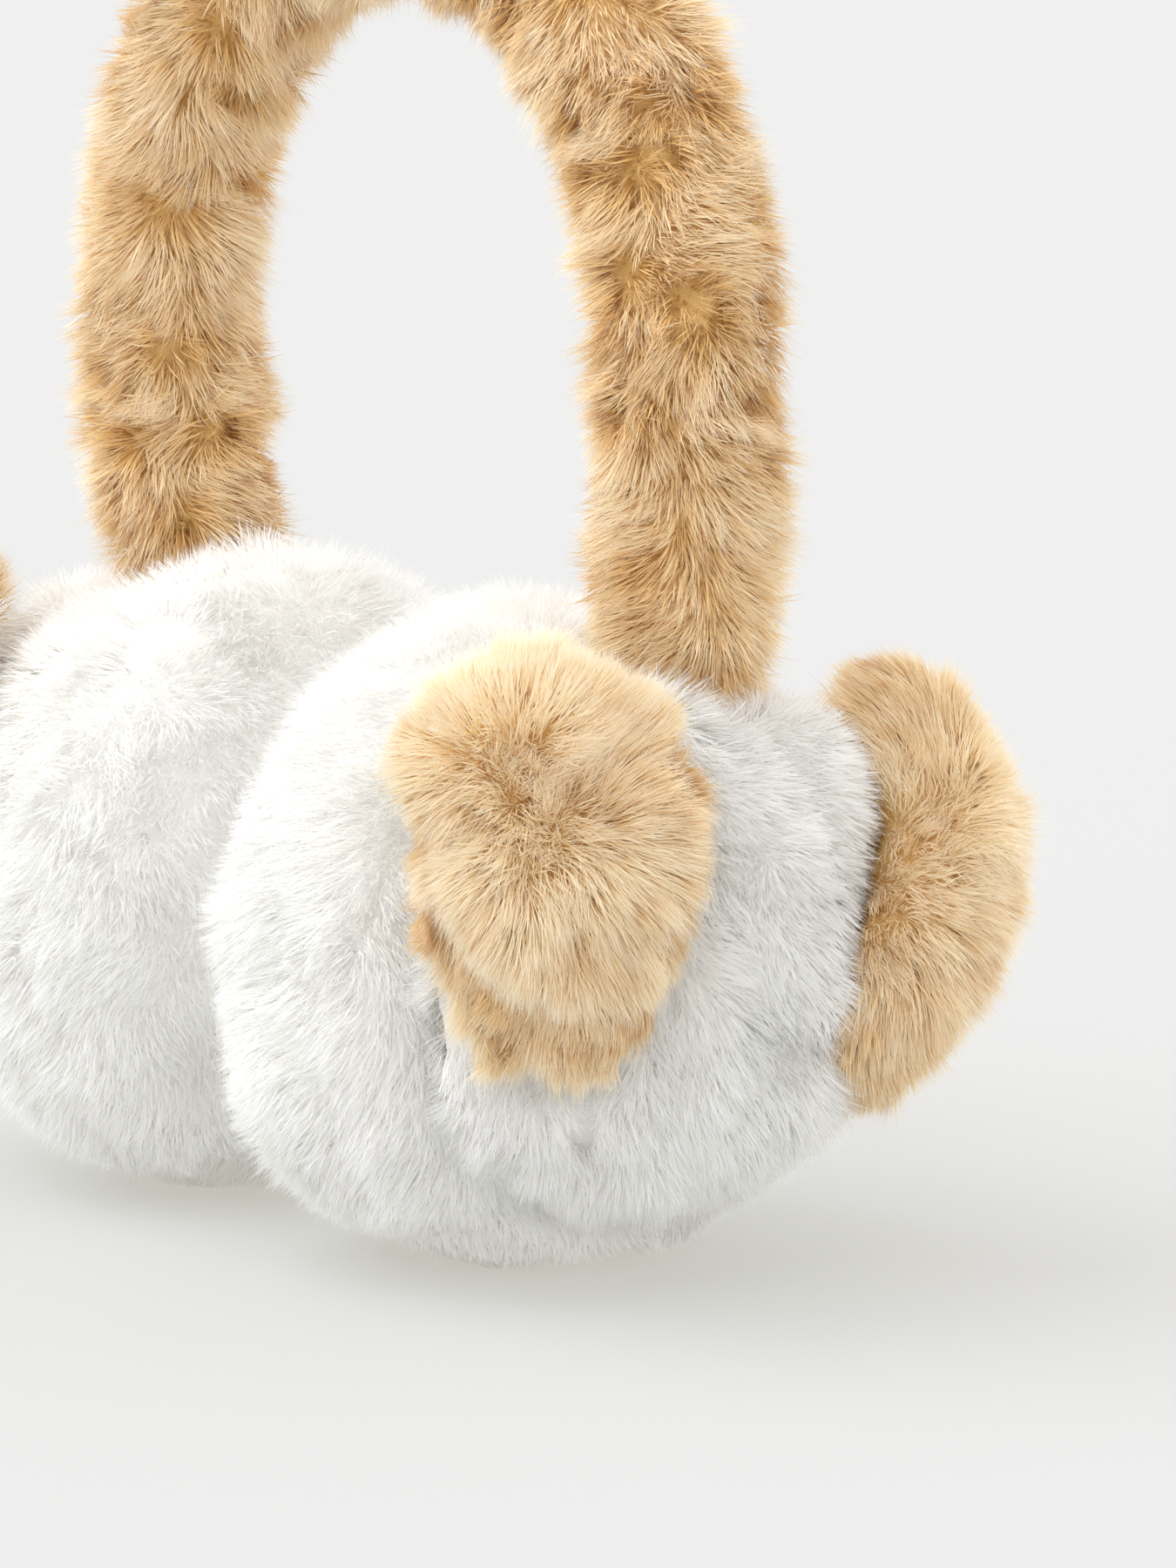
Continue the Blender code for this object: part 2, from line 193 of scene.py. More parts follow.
def add_floor():
    bpy.ops.mesh.primitive_plane_add(size=FLOOR_SIZE)
    floor = bpy.context.object
    floor.name = "floor"
    material, _, _, shader = new_material("floor_paper")
    shader.inputs["Base Color"].default_value = (*FLOOR_COLOUR, 1.0)
    shader.inputs["Roughness"].default_value = 1.0
    shader.inputs["Specular IOR Level"].default_value = 0.0
    shader.inputs["Emission Color"].default_value = (*FLOOR_GLOW, 1.0)
    shader.inputs["Emission Strength"].default_value = 1.0
    floor.data.materials.append(material)


def ramp(nodes, stops):
    """A colour ramp with the given (place, colour) stops."""
    node = nodes.new("ShaderNodeValToRGB")
    elements = node.color_ramp.elements
    for element, (place, colour) in ((elements[0], stops[0]), (elements[1], stops[-1])):
        element.position = place
        element.color = (*colour, 1.0)
    for place, colour in stops[1:-1]:
        elements.new(place).color = (*colour, 1.0)
    return node


def mix_colours(nodes, links, share, first, second):
    """The output of a node that goes from the first colour to the second as share goes from 0 to 1."""
    node = nodes.new("ShaderNodeMix")
    node.data_type = "RGBA"
    links.new(share, node.inputs["Factor"])
    links.new(first, node.inputs["A"])
    links.new(second, node.inputs["B"])
    return node.outputs["Result"]


def hair_material(name, deep_stops, pale_stops, clear):
    """Fur whose colour runs from root to tip, between a deep hair at tone 0 and a pale one at tone 1.

    clear is the share of the light that passes through a hair.
    """
    material, nodes, links, shader = new_material(name)
    attribute = nodes.new("ShaderNodeAttribute")
    attribute.attribute_name = "fur"
    parts = nodes.new("ShaderNodeSeparateColor")
    links.new(attribute.outputs["Color"], parts.inputs["Color"])
    deep, pale = ramp(nodes, deep_stops), ramp(nodes, pale_stops)
    for one in (deep, pale):
        links.new(parts.outputs["Red"], one.inputs["Fac"])
    colour = mix_colours(nodes, links, parts.outputs["Green"], deep.outputs["Color"], pale.outputs["Color"])
    links.new(colour, shader.inputs["Base Color"])
    shader.inputs["Roughness"].default_value = HAIR_ROUGHNESS
    shader.inputs["Specular IOR Level"].default_value = HAIR_SHINE
    through = nodes.new("ShaderNodeBsdfTranslucent")
    links.new(colour, through.inputs["Color"])
    both = nodes.new("ShaderNodeMixShader")
    both.inputs["Fac"].default_value = clear
    links.new(shader.outputs["BSDF"], both.inputs[1])
    links.new(through.outputs["BSDF"], both.inputs[2])
    links.new(both.outputs["Shader"], nodes["Material Output"].inputs["Surface"])
    return material


def noise(nodes, links, place, scale, detail):
    """The height of a noise texture with so many patches to the metre."""
    node = nodes.new("ShaderNodeTexNoise")
    node.inputs["Scale"].default_value = scale
    node.inputs["Detail"].default_value = detail
    links.new(place.outputs["Object"], node.inputs["Vector"])
    return node.outputs["Fac"]


def skin_material(name, colours, patches):
    """The dense underfur: mottled colour, with short fibres as bump."""
    material, nodes, links, shader = new_material(name)
    place = nodes.new("ShaderNodeTexCoord")
    mottle = ramp(nodes, tuple(zip(PATCH_EDGES, colours)))
    links.new(noise(nodes, links, place, patches, PATCH_DETAIL), mottle.inputs["Fac"])
    links.new(mottle.outputs["Color"], shader.inputs["Base Color"])
    bump = nodes.new("ShaderNodeBump")
    bump.inputs["Strength"].default_value = FIBRE_STRENGTH
    bump.inputs["Distance"].default_value = FIBRE_HEIGHT
    fibres = noise(nodes, links, place, patches * FIBRES_IN_PATCH, FIBRE_DETAIL)
    links.new(fibres, bump.inputs["Height"])
    links.new(bump.outputs["Normal"], shader.inputs["Normal"])
    shader.inputs["Roughness"].default_value = UNDERFUR_ROUGHNESS
    shader.inputs["Specular IOR Level"].default_value = UNDERFUR_SHINE
    return material


def smoothstep(low, high, value):
    """0 up to low, 1 from high on, and a soft step between; it falls where high is the lower of the two."""
    share = np.clip((value - low) / (high - low), 0, 1)
    return share * share * (3 - 2 * share)


def bell(value, width):
    """1 at the value 0, and near 0 beyond some 2 widths to each side."""
    return np.exp(-(value / width) ** 2)


def lengths_of(vectors):
    return np.linalg.norm(vectors, axis=1, keepdims=True)


def unit(vectors):
    return vectors / np.maximum(lengths_of(vectors), NO_LENGTH)


def dots(first, second):
    return np.sum(first * second, axis=1)


def along_surface(vectors, normals):
    """What is left of the vectors in the plane of the surface."""
    return vectors - normals * dots(vectors, normals)[:, None]


class Waves:
    """A smooth random field, about -1 to 1: a sum of plane waves of about one wavelength."""

    count = 20
    spread = (0.6, 1.6)

    def __init__(self, wavelength):
        ways = unit(rng.normal(size=(self.count, 3)))
        self.rates = ways * rng.uniform(*self.spread, (self.count, 1)) * 2 * math.pi / wavelength
        self.starts = rng.uniform(0, 2 * math.pi, self.count)
        self.level = math.sqrt(1.0 / self.count)

    def __call__(self, points):
        return np.sin(points @ self.rates.T + self.starts).sum(axis=1) * self.level


def vector_waves(wavelength):
    fields = [Waves(wavelength) for _ in range(3)]
    return lambda points: np.stack([field(points) for field in fields], axis=1)


def read_skin(skin):
    """The skin's arrays, and a tree that finds its nearest face."""
    mesh = skin.data
    mesh.calc_loop_triangles()
    points = np.empty(len(mesh.vertices) * 3, np.float32)
    mesh.vertices.foreach_get("co", points)
    normals = np.empty(len(mesh.vertices) * 3, np.float32)
    mesh.vertices.foreach_get("normal", normals)
    triangles = np.empty(len(mesh.loop_triangles) * 3, np.int32)
    mesh.loop_triangles.foreach_get("vertices", triangles)
    points = points.reshape(-1, 3).astype(float)
    triangles = triangles.reshape(-1, 3)
    tree = BVHTree.FromPolygons(points.tolist(), triangles.tolist())
    return Skin(points, triangles, normals.reshape(-1, 3).astype(float), tree)


def bake_modifiers(thing):
    """Makes what a thing's modifiers do its own mesh."""
    bpy.context.view_layer.update()
    evaluated = thing.evaluated_get(bpy.context.evaluated_depsgraph_get())
    mesh = bpy.data.meshes.new_from_object(evaluated)
    thing.modifiers.clear()
    thing.data = mesh


def keep_largest(mesh):
    """Deletes all but the largest connected part of a mesh: crumbs of single locks go."""
    bm = bmesh.new()
    bm.from_mesh(mesh)
    unseen = set(bm.verts)
    largest = set()
    while unseen:
        island = set()
        border = {unseen.pop()}
        while border:
            vert = border.pop()
            island.add(vert)
            for edge in vert.link_edges:
                other = edge.other_vert(vert)
                if other in unseen:
                    unseen.discard(other)
                    border.add(other)
        if len(island) > len(largest):
            largest = island
    crumbs = [vert for vert in bm.verts if vert not in largest]
    bmesh.ops.delete(bm, geom=crumbs, context="VERTS")
    bm.to_mesh(mesh)
    bm.free()


def hollows(lumps, points):
    """Depth of the hollows between the lumps of a skin, given as pairs of wavelength and depth."""
    return sum(depth * (0.5 - 0.5 * np.clip(Waves(wavelength)(points), -1, 1)) for wavelength, depth in lumps)


def make_skin(node, material, form):
    """A smooth closed skin, a little lumpy, under the fur of a node, which it stands for."""
    skin = bpy.data.objects.new(f"{node}_skin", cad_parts[node].data.copy())
    bpy.context.scene.collection.objects.link(skin)
    close = skin.modifiers.new("close", "REMESH")
    close.mode = "VOXEL"
    close.voxel_size = SKIN_VOXEL
    bake_modifiers(skin)
    keep_largest(skin.data)
    settle = skin.modifiers.new("settle", "SMOOTH")
    settle.factor = SKIN_SETTLING
    settle.iterations = SKIN_PASSES
    bake_modifiers(skin)

    smooth = read_skin(skin)
    depth = form.inset + hollows(form.lumps, smooth.points)
    points = smooth.points - smooth.normals * depth[:, None]
    if form.reshape:
        points = form.reshape(points, smooth.normals)
    points[:, 2] = np.maximum(points[:, 2], FLOOR_CLEARANCE)
    skin.data.vertices.foreach_set("co", points.astype(np.float32).ravel())
    skin.data.update()
    skin.data.shade_smooth()
    skin.data.materials.clear()
    skin.data.materials.append(material)
    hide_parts(node)
    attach(skin, BODY)
    return read_skin(skin)


def spans(corners):
    """Cross products of the triangles' sides: along their normals, and twice their areas long."""
    return np.cross(corners[:, 1] - corners[:, 0], corners[:, 2] - corners[:, 0])


def height_over(skin, point):
    """How far a point is outside a skin, negative inside."""
    foot, normal, _, gap = skin.tree.find_nearest(point)
    depth = -(Vector(point) - foot).dot(normal)
    return -gap if depth > INSIDE * gap else gap


def make_bed(skin, neighbours, weigh):
    """Where fur grows on a skin: not under a neighbouring skin, and denser where weigh says so."""
    corners = skin.points[skin.triangles]
    centres = corners.mean(axis=1)
    faces = spans(corners)
    share = lengths_of(faces)[:, 0] * weigh(centres, unit(faces))
    near = np.full((len(centres), len(neighbours)), FAR)
    for column, neighbour in enumerate(neighbours):
        low = neighbour.points.min(axis=0) - REACH
        high = neighbour.points.max(axis=0) + REACH
        for index in np.flatnonzero(np.all((centres > low) & (centres < high), axis=1)):
            near[index, column] = height_over(neighbour, centres[index])
    share[near.min(axis=1) < COVERED] = 0
    return Bed(skin, neighbours, corners, near, share / share.sum())


def scatter(bed, count):
    """Random roots over a bed."""
    picked = rng.choice(len(bed.share), count, p=bed.share)
    first, second = rng.random(count), rng.random(count)
    over = first + second > 1
    first[over], second[over] = 1 - first[over], 1 - second[over]
    weights = np.stack([1 - first - second, first, second], axis=1)[:, :, None]
    points = (bed.corners[picked] * weights).sum(axis=1)
    normals = unit((bed.skin.normals[bed.skin.triangles[picked]] * weights).sum(axis=1))
    return Roots(points, normals, bed.near[picked])


def nearest_of(points, centres):
    """Index of the nearest centre for each point."""
    tree = KDTree(len(centres))
    for index, centre in enumerate(centres):
        tree.insert(centre, index)
    tree.balance()
    return np.array([tree.find(point)[1] for point in points])


def area_of(skin):
    return np.linalg.norm(spans(skin.points[skin.triangles]), axis=1).sum() / 2


# Hairs drawn together: a wisp or tuft has one leader, which the others lean towards
LEAST_LEADERS = 8
PULL_SPREAD = (0.55, 1.25)
BEND_PULL = 0.6  # share of the pull that reaches the middle of a hair
BEND_APART = 0.6  # share of their distance that fully drawn hairs keep at their middles,
TIP_APART = 0.12  # and at their tips


def draw_together(points, bends, tips, spacing, size, pull):
    """Draws hairs towards one among them in each patch of a size, so that they end in wisps.

    spacing is the mean distance between the hairs.
    """
    count = max(LEAST_LEADERS, int(len(points) * (spacing / size) ** 2))
    leaders = rng.choice(len(points), min(count, len(points)), replace=False)
    own = leaders[nearest_of(points, points[leaders])]
    share = pull * rng.uniform(*PULL_SPREAD, len(points))[:, None]
    bends = bends + (bends[own] + (points - points[own]) * BEND_APART - bends) * share * BEND_PULL
    tips = tips + (tips[own] + (points - points[own]) * TIP_APART - tips) * share
    return bends, tips, own


# Blades: how they are turned, and how wide they are, as shares of the layer's width
TONE_EDGE = 0.02  # how much the tone differs between the two edges of a blade
BLADE_ROLL = 0.35  # how far a blade may turn about its own length, in radians
BLADE_TWIST = 0.15  # how unlike its neighbours' its own sideways direction is
WIDTH_SPREAD = (0.7, 1.3)
ROOT_WIDTH = 0.85
WIDENING = 0.3  # from root to tip,
TAPERING = 0.45  # less what the blade loses towards its tip


def ribbon(roots, bends, tips, normals, width, places):
    """Points of blades at places along their bent lines, two to a place, and the tip."""
    count = len(roots)
    chord = unit(tips - roots)
    side = unit(np.cross(chord, normals + rng.normal(scale=BLADE_TWIST, size=(count, 3))))
    turn = rng.uniform(-BLADE_ROLL, BLADE_ROLL, (count, 1))
    side = side * np.cos(turn) + np.cross(chord, side) * np.sin(turn)
    half = (width * rng.uniform(*WIDTH_SPREAD, count) / 2)[:, None]
    rings = []
    for place in places:
        centre = roots * (1 - place) ** 2 + bends * (2 * place * (1 - place)) + tips * place ** 2
        wide = half * (ROOT_WIDTH + WIDENING * place) * (1 - TAPERING * place ** 2)
        rings += [centre - side * wide, centre + side * wide]
    rings.append(tips)
    points = np.stack(rings, axis=1)
    points[:, :, 2] = np.maximum(points[:, :, 2], FLOOR_CLEARANCE)
    return points


def ribbon_faces(segments, count):
    """Triangles of so many blades, numbered as ribbon lists their points."""
    per_hair = 2 * segments + 1
    pattern = []
    for ring in range(segments - 1):
        low = 2 * ring
        pattern += [(low, low + 1, low + 3), (low, low + 3, low + 2)]
    pattern.append((per_hair - 3, per_hair - 2, per_hair - 1))
    return (np.arange(count)[:, None, None] * per_hair + np.array(pattern)[None]).reshape(-1, 3)


def blades(name, roots, bends, tips, normals, width, tones, layer):
    """One mesh of flat tapering blades along the curves of their roots, bends and tips."""
    count, segments = len(roots), layer.segments
    places = layer.start + (1 - layer.start) * np.arange(segments) / segments
    points = ribbon(roots, bends, tips, normals, width, places)
    triangles = ribbon_faces(segments, count)

    mesh = bpy.data.meshes.new(name)
    mesh.vertices.add(points.shape[0] * points.shape[1])
    mesh.vertices.foreach_set("co", points.astype(np.float32).ravel())
    mesh.loops.add(triangles.size)
    mesh.loops.foreach_set("vertex_index", triangles.astype(np.int32).ravel())
    mesh.polygons.add(len(triangles))
    mesh.polygons.foreach_set("loop_start", np.arange(0, triangles.size, 3, dtype=np.int32))
    mesh.update(calc_edges=True)

    along = np.append(np.repeat(places, 2), 1.0)
    edge = np.append(np.tile((-TONE_EDGE, TONE_EDGE), segments), 0.0)
    hair_tones = np.clip(tones, TONE_EDGE, 1 - TONE_EDGE)
    values = np.zeros((count, points.shape[1], 4), np.float32)
    values[:, :, 0] = along
    values[:, :, 1] = hair_tones[:, None] + edge
    values[:, :, 3] = 1.0
    values = values.reshape(-1, 4)
    fur = mesh.attributes.new("fur", "FLOAT_COLOR", "POINT")
    fur.data.foreach_set("color", values.ravel())
    table = mesh.uv_layers.new(name="OFBake")
    table.data.foreach_set("uv", values[triangles.ravel(), :2].ravel())
    return mesh


# Hairs beside a neighbouring skin
LIFT = 0.0004  # least height of a hair's tip over it
TIP_REACH = 1.1  # a hair this many times its length away can't touch it
CUT_BACK = (1.0, 0.65, 0.4, 0.2, 0.1)  # shares that a hair is shortened to until its tip is clear
EARS_OF_CUP = 2  # the ears come first among a cup's neighbours, and its hairs are shorter beside them,
CROWDED = (0.006, 0.001)  # from the first of these distances to the second


def keep_out(roots, bends, tips, neighbours):
    """Shortens the hairs whose tips would end inside a neighbouring skin."""
    reach = lengths_of(tips - roots.points)[:, 0] * TIP_REACH + LIFT
    close = roots.near < reach[:, None]
    for index in np.flatnonzero(close.any(axis=1)):
        around = [neighbour for neighbour, is_close in zip(neighbours, close[index]) if is_close]
        root = roots.points[index]
        step = tips[index] - root
        for share in CUT_BACK:
            if all(height_over(neighbour, root + step * share) > LIFT for neighbour in around):
                break
        tips[index] = root + step * share
        bends[index] = root + (bends[index] - root) * share
    return bends, tips


# How a kind of fur grows: sizes in metres, pulls, tones and thick as shares
Style = namedtuple(
    "Style",
    "length spread stray tuft tuft_pull wisp wisp_pull tone tone_hair tone_wisp tone_tuft thick crowding",
)
CUP_STYLE = Style(
    length=0.0076, spread=0.25, stray=0.26,
    tuft=0.0060, tuft_pull=0.22, wisp=0.0014, wisp_pull=0.26,
    tone=0.55, tone_hair=0.04, tone_wisp=0.04, tone_tuft=0.04, thick=1.1, crowding=0.4,
)
BAND_STYLE = Style(
    length=0.0094, spread=0.30, stray=0.24,
    tuft=0.0055, tuft_pull=0.42, wisp=0.0017, wisp_pull=0.38,
    tone=0.57, tone_hair=0.07, tone_wisp=0.09, tone_tuft=0.10, thick=0.85, crowding=0.0,
)
EAR_STYLE = Style(
    length=0.0125, spread=0.22, stray=0.22,
    tuft=0.0055, tuft_pull=0.34, wisp=0.0018, wisp_pull=0.38,
    tone=0.58, tone_hair=0.06, tone_wisp=0.08, tone_tuft=0.08, thick=0.80, crowding=0.0,
)
ROOT_STRAY = 0.6  # share of its stray that a hair already has in its lower half

# The two layers of a fur: a coat of broad bent blades, and fine straighter hairs that start inside it
Layer = namedtuple("Layer", "name segments width longer start stray pull paler")
COAT = Layer("coat", 2, 0.00042, 0.92, 0.0, 1.0, 1.0, -0.04)
HAIRS = Layer("hairs", 1, 0.00019, 1.08, 0.30, 1.25, 0.85, 0.06)


def leaning(normals, flow, angle):
    """Unit vectors that lean from the normals towards the flow by an angle."""
    return unit(normals * np.cos(angle)[:, None] + flow * np.sin(angle)[:, None])


def grow(name, bed, material, count, style, layer, growth):
    """Grows one layer of fur on a bed: a mesh of blades that rides with it."""
    roots = scatter(bed, count)
    made = growth(roots.points, roots.normals)
    free = 1 - style.crowding * smoothstep(*CROWDED, roots.near[:, :EARS_OF_CUP].min(axis=1))
    spread = rng.uniform(1 - style.spread, 1 + style.spread, count)
    length = (made.length * free * layer.longer * spread)[:, None]
    rise = leaning(roots.normals, made.flow, made.rise)
    fall = leaning(roots.normals, made.flow, made.fall)
    stray = rng.normal(scale=style.stray * layer.stray, size=(count, 3))
    bends = roots.points + unit(rise + stray * ROOT_STRAY) * length * 0.5
    tips = bends + unit(fall + stray) * length * 0.5

    spacing = math.sqrt(area_of(bed.skin) / count)
    owners = []
    for size, pull in ((style.tuft, style.tuft_pull), (style.wisp, style.wisp_pull)):
        bends, tips, own = draw_together(roots.points, bends, tips, spacing, size, pull * layer.pull)
        owners.append(own)
    bends, tips = keep_out(roots, bends, tips, bed.neighbours)

    tuft, wisp = owners
    shade = rng.normal(size=count)
    tones = made.tone + layer.paler
    tones = tones + style.tone_hair * shade + style.tone_wisp * shade[wisp] + style.tone_tuft * shade[tuft]
    width = layer.width * style.thick
    mesh = blades(name, roots.points, bends, tips, roots.normals, width, tones, layer)
    mesh.materials.append(material)
    fur = bpy.data.objects.new(name, mesh)
    bpy.context.scene.collection.objects.link(fur)
    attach(fur, BODY)


# White fur of a cup: shares of its flow, its lie in degrees from upright, and where it changes
CUP_AWAY = 0.45
CUP_DOWN = 0.50
CUP_WANDER = 0.50
CUP_WANDER_WAVE = 0.026
CUP_LUMP_WAVE = 0.020
CUP_FACE = (0.010, 0.022)  # out from the head's middle, where the short fur of the face ends
CUP_FACE_LENGTH = 0.5
CUP_OTHER_LENGTH = 0.5  # what the fur has more away from the face
CUP_SWELL = 0.14
CUP_BASE = (0.024, 0.003)  # heights between which the fur gets shorter and flatter towards the floor
CUP_BASE_SHORTER = 0.6
CUP_RISE = 22
CUP_LUMP_RISE = 12
CUP_FALL = 44
CUP_BASE_FALL = 20
CUP_LUMP_TONE = 0.10


def cup_growth(side, crown):
    """White fur that flows from the crown beside the headband down and around the cup."""
    wander = vector_waves(CUP_WANDER_WAVE)
    lumps = Waves(CUP_LUMP_WAVE)

    def growth(points, normals):
        flow = unit(points - crown) * CUP_AWAY - UP * CUP_DOWN + wander(points) * CUP_WANDER
        flow = unit(along_surface(flow, normals))
        lump = lumps(points)
        base = smoothstep(*CUP_BASE, points[:, 2])
        short = CUP_FACE_LENGTH + CUP_OTHER_LENGTH * smoothstep(*CUP_FACE, points[:, 0] * side)
        length = CUP_STYLE.length * short * (1 + CUP_SWELL * lump) * (1 - CUP_BASE_SHORTER * base)
        rise = np.radians(CUP_RISE + CUP_LUMP_RISE * lump)
        fall = np.radians(CUP_FALL + CUP_BASE_FALL * base)
        return Growth(flow, rise, fall, length, CUP_STYLE.tone + CUP_LUMP_TONE * lump)

    return growth


def band_places(points):
    """For points of the headband: the way down its centre line, and the way out from that line."""
    side = np.sign(points[:, 0])
    across, up = np.abs(points[:, 0]), points[:, 2] - ARCH_HEIGHT
    angle = np.arctan2(np.maximum(up, 0), across)
    share = np.clip(-up / LEG_LENGTH, 0, 1)
    centre_x = np.where(up > 0, ARCH_RADIUS * np.cos(angle), ARCH_RADIUS - LEG_TUCK * share ** 2)
    centre_z = np.where(up > 0, ARCH_HEIGHT + ARCH_RADIUS * np.sin(angle), points[:, 2])
    centre_y = BAND_Y + np.where(up > 0, 0, LEG_LEAN * share ** 2)
    centres = np.stack([centre_x * side, centre_y, centre_z], axis=1)
    down_x = np.where(up > 0, np.sin(angle), -2 * LEG_TUCK * share / LEG_LENGTH)
    down_z = np.where(up > 0, -np.cos(angle), -1.0)
    down = unit(np.stack([down_x * side, np.zeros(len(side)), down_z], axis=1))
    return down, along_surface(points - centres, down), share


# Tan fur of the headband: shares of its flow, its lie in degrees from upright, lengths and tones as shares
BAND_DOWN = 0.55
BAND_AROUND = 0.55
BAND_WANDER = 0.50
BAND_PUSH = 1.1  # how strongly the hairs around a pocket lean away from it
BAND_WANDER_WAVE = 0.024
BAND_MEANDER_WAVE = 0.060
BAND_LUMP_WAVE = 0.018
BAND_MEANDER = 0.5  # how far a parting wanders around the band, in radians
POCKETS = 170
POCKET_REACH = 0.0075
PARTING_WIDTH = 0.16
BAND_RISE = 40
BAND_STANDING_RISE = 16
BAND_LUMP_RISE = 8
BAND_FALL = 68
BAND_STANDING_FALL = 20
BAND_LUMP_LENGTH = 0.15
BAND_PARTING_LENGTH = 0.20
BAND_FOOT_LENGTH = 0.15
BAND_FOOT = (0.5, 1.0)  # shares of the leg between which its fur gets longer
BAND_LUMP_TONE = 0.14
BAND_STANDING_TONE = 0.14
# painted shade: how much darker the hairs along a parting are
BAND_PARTING_SHADE = 0.22
# painted shade: how much darker the hairs around a pocket are
POCKET_PAINTED_SHADE = 0.60


def pocket_field(skin):
    """Places that the hairs around them lean away from, which leaves small hollows in the fur; the band's
    tone paints shade into them.
    """
    picked = rng.choice(len(skin.points), POCKETS, replace=False)
    centres = skin.points[picked]

    def push(points):
        gap = points - centres[nearest_of(points, centres)]
        share = 1 - smoothstep(0.0, POCKET_REACH, lengths_of(gap)[:, 0])
        return unit(gap) * share[:, None], share

    return push


def band_growth(skin):
    """Tan fur that parts along two wandering lines, towards the camera and behind, and meets between them."""
    wander = vector_waves(BAND_WANDER_WAVE)
    meander = Waves(BAND_MEANDER_WAVE)
    lumps = Waves(BAND_LUMP_WAVE)
    push = pocket_field(skin)
    back, _ = camera_axes()
    view = np.array([[back.x, back.y, 0.0]])

    def growth(points, normals):
        down, out, leg = band_places(points)
        out = unit(out)
        around = np.cross(down, out)
        facing = unit(along_surface(np.repeat(view, len(points), axis=0), down))
        turn = BAND_MEANDER * meander(points) - np.arctan2(dots(facing, around), dots(facing, out))
        parted = np.sin(2 * turn)[:, None]
        pushed, pocket = push(points)
        flow = down * BAND_DOWN + around * parted * BAND_AROUND
        flow = flow + wander(points) * BAND_WANDER + pushed * BAND_PUSH
        flow = unit(along_surface(flow, normals))
        lump = lumps(points)
        standing = np.abs(np.sin(turn))
        parting = bell(np.sin(turn), PARTING_WIDTH)
        foot = smoothstep(*BAND_FOOT, leg)
        rise = np.radians(BAND_RISE - BAND_STANDING_RISE * standing + BAND_LUMP_RISE * lump)
        fall = np.radians(BAND_FALL - BAND_STANDING_FALL * standing)
        longer = 1 + BAND_LUMP_LENGTH * lump - BAND_PARTING_LENGTH * parting + BAND_FOOT_LENGTH * foot
        tone = BAND_STYLE.tone + BAND_LUMP_TONE * lump + BAND_STANDING_TONE * standing
        # painted shade: darker along the partings and around the pockets
        tone = tone - BAND_PARTING_SHADE * parting - POCKET_PAINTED_SHADE * pocket
        return Growth(flow, rise, fall, BAND_STYLE.length * longer, tone)

    return growth


# Where an ear sits, where its fur starts from, how much lower than the smoothed solid its tip hangs, the
# share in which it wraps around the cup, and how many strands it has; lean is -1 on a back ear
EarPlan = namedtuple("EarPlan", "name side lean angle middle crown_u crown_v drop wrap strands")
EAR_PLANS = (
    EarPlan("right_front", 1, 1, math.radians(-42), 0.0830, -0.0059, 0.0165, 0.0075, 0.0, 15000),
    EarPlan("right_back", 1, -1, math.radians(52), 0.0675, 0.0260, 0.0140, -0.0020, 0.90, 13000),
    EarPlan("left_front", -1, 1, math.radians(-42), 0.0830, -0.0059, 0.0165, 0.0075, 0.0, 9500),
    EarPlan("left_back", -1, -1, math.radians(52), 0.0610, 0.0260, 0.0140, 0.0020, 0.35, 9500),
)
EAR_REACH = 0.0680  # distance from their axis at which places across the ears are measured
CROWN_RUN = (0.0080, -0.0120)  # from one end of the crown's parting to the other, across and up the ear
FOLD_U = 0.0100  # the lowest point of the fold, where the upper lobe's fur ends
FOLD_V = -0.0280
FOLD_CURVE = 30.0  # how steeply the fold rises to both sides of that point, per metre
FOLD_TOP = -0.0100
FRINGE = 0.0055  # how far the upper lobe's fur hangs over the lower lobe
BACK_FOLD = 0.0300  # how much lower the fold of a back ear is: its fur falls in one to the tip

# Form of an ear's skin; pairs are heights on the ear, or places across it, that a change runs between
BELOW_FOLD = (0.002, -0.003)
FACES_OUT = (-0.3, 0.3)
DROP_RUN = (-0.010, -0.030)
LOBE_DEPTH = 0.0045  # how far the lower lobe lies back behind the upper one
TOP_DROP = 0.0028  # how much flatter the top of a front ear is,
TOP_RUN = (0.018, 0.034)
TOP_WIDER = 0.0018  # and wider to each side
WIDER_ACROSS = (0.006, 0.020)
WIDER_UP = (0.002, 0.014)
FRONT_SHIFT = 0.0044  # how far the lower half of a front ear lies towards the back
SHIFT_RUN = (0.018, 0.006)
LOBE_SHIFT_LESS = 0.35
WAIST = 0.06  # how much narrower a front ear is at its middle, and wider at its lower lobe
WAIST_RUN = (0.016, 0.004)
WRAP_FORWARD = 0.0225  # how far a back ear's lower half wraps forwards around the cup,
WRAP_IN = 0.0074  # and lies closer in
WRAP_RUN = (0.026, -0.024)
BROW_FORWARD = -0.0010  # how far a back ear's top leans forwards,
BROW_IN = 0.0050  # and rounds inwards
BROW_RUN = (0.010, 0.034)


def ear_places(points, plan):
    """The ways out of the cup and across the ear at some points, and their places across and up the ear."""
    azimuth = np.arctan2(points[:, 1] - EAR_AXIS_Y, points[:, 0] * plan.side - EAR_AXIS_X)
    level = np.zeros(len(points))
    out = np.stack([np.cos(azimuth) * plan.side, np.sin(azimuth), level], axis=1)
    across = np.stack([-np.sin(azimuth) * plan.side, np.cos(azimuth), level], axis=1) * plan.lean
    return out, across, (azimuth - plan.angle) * EAR_REACH * plan.lean, points[:, 2] - plan.middle


def over_fold(u, v, plan):
    """Height over the line at which the roots of the upper lobe's fur end."""
    fold = np.minimum(FOLD_V + FOLD_CURVE * (u - FOLD_U) ** 2, FOLD_TOP)
    return v - fold - FRINGE + (0 if plan.lean > 0 else BACK_FOLD)


